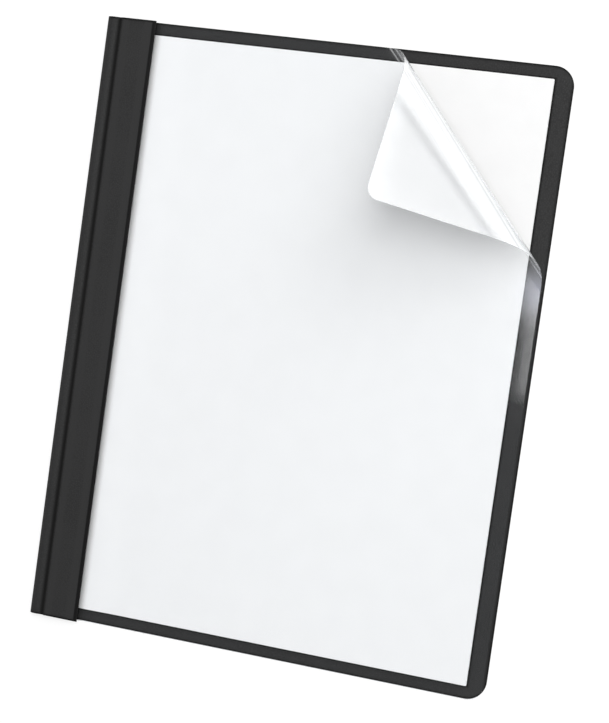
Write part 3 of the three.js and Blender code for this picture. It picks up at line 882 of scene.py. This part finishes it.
def page_stack():
    """The stack of pages: thin sheets one above another, each a hair out of line with the next."""
    points, faces = sheet_net()
    random = np.random.default_rng(11)
    pitch = (PAGES_HIGH[2] - STUB_HIGH[2]) / SHEETS
    thickness = pitch * SHEET_SHARE
    up = np.zeros((len(points), 3))
    up[:, 2] = 1
    vertices, lists = [], []
    for sheet in range(SHEETS):
        shift = random.uniform(-SHEET_SHIFT, SHEET_SHIFT, 2) if sheet < SHEETS - 1 else np.zeros(2)
        level = (sheet + 0.5) * pitch
        height = settled(points[:, 0], STUB_HIGH[2], CARD) + level
        middle = np.concatenate([points + shift, height[:, None]], -1)
        sheet_vertices, sheet_lists = closed_sheet(middle, up, faces, thickness)
        start = sum(len(v) for v in vertices)
        vertices.append(sheet_vertices)
        lists += [[corner + start for corner in face] for face in sheet_lists]
    piece = make_piece("page_stack", np.concatenate(vertices), lists, PAPER, SHARP_FROM_IN_PAPER)
    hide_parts("report_pages")
    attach(piece, "back")


def dress(node, material):
    """A CAD node with a better material."""
    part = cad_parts[node]
    part.data.materials.clear()
    part.data.materials.append(material)


def camera():
    """The camera that the photo was fitted with. Its turns are about X, Y and Z and are used in the
    order Y, X, Z, and its offset and distance are in its own directions."""
    turn_x, turn_y, turn_z = (math.radians(turn) for turn in CAMERA_TURNS)
    about_x = Matrix.Rotation(turn_x, 3, "X")
    about_y = Matrix.Rotation(turn_y, 3, "Y")
    about_z = Matrix.Rotation(turn_z, 3, "Z")
    to_camera = about_z @ about_x @ about_y
    to_world = to_camera.transposed()
    place = to_world @ Vector((-CAMERA_OFFSET[0], -CAMERA_OFFSET[1], CAMERA_DISTANCE))
    data = bpy.data.cameras.new("camera")
    data.sensor_width = SENSOR
    data.lens = SENSOR * FOCAL_PIXELS / PHOTO_HEIGHT
    data.clip_start = NEAREST_SEEN
    data.clip_end = FARTHEST_SEEN
    seen_from = bpy.data.objects.new("camera", data)
    seen_from.matrix_world = Matrix.Translation(place) @ to_world.to_4x4()
    bpy.context.scene.collection.objects.link(seen_from)
    bpy.context.scene.camera = seen_from


def softbox(name, place, aim, size, brightness):
    """A square lamp that faces a point. Its power is what gives its face a brightness, where 1 is
    white."""
    data = bpy.data.lights.new(name, "AREA")
    data.shape = "SQUARE"
    data.size = size
    data.energy = brightness * math.pi * size ** 2
    lamp = bpy.data.objects.new(name, data)
    direction = Vector(place) - Vector(aim)
    turn = direction.to_track_quat("Z", "Y").to_matrix().to_4x4()
    lamp.matrix_world = Matrix.Translation(place) @ turn
    bpy.context.scene.collection.objects.link(lamp)


def world_light():
    """Even studio light, dimmer overhead than towards the walls. It is white to the eye."""
    s = Shader("studio", bpy.data.worlds)
    direction = s.node("ShaderNodeTexCoord").outputs["Generated"]
    height = s.node("ShaderNodeSeparateXYZ", {0: direction}).outputs["Z"]
    even = s.ramp(height, WALL_TOP, 1.0, WALL_LIGHT, OVERHEAD_LIGHT)
    light = s.node("ShaderNodeBackground", {"Color": grey(1.0), "Strength": even})
    white = s.node("ShaderNodeBackground", {"Color": grey(1.0)})
    path = s.node("ShaderNodeLightPath")
    surface = s.mixed(path.outputs["Is Camera Ray"], light.outputs[0], white.outputs[0])
    bpy.context.scene.world = s.finish(surface)


def floor():
    """A wide white floor just under the cover."""
    directions = np.array([(-1, -1), (1, -1), (1, 1), (-1, 1)])
    corners = [(x, y, -FLOOR_GAP) for x, y in directions * FLOOR_HALF]
    piece = make_piece("floor", corners, [[0, 1, 2, 3]], floor_material())


camera()
leatherette_cover()
clear_film()
page_stack()
dress("fastener_strip", CARD_STOCK)
for fastener in ("fastener_top", "fastener_middle", "fastener_bottom"):
    dress(fastener, TINNED)
floor()
world_light()
for lamp in LAMPS:
    softbox(*lamp)

bpy.context.scene.view_settings.view_transform = "Standard"
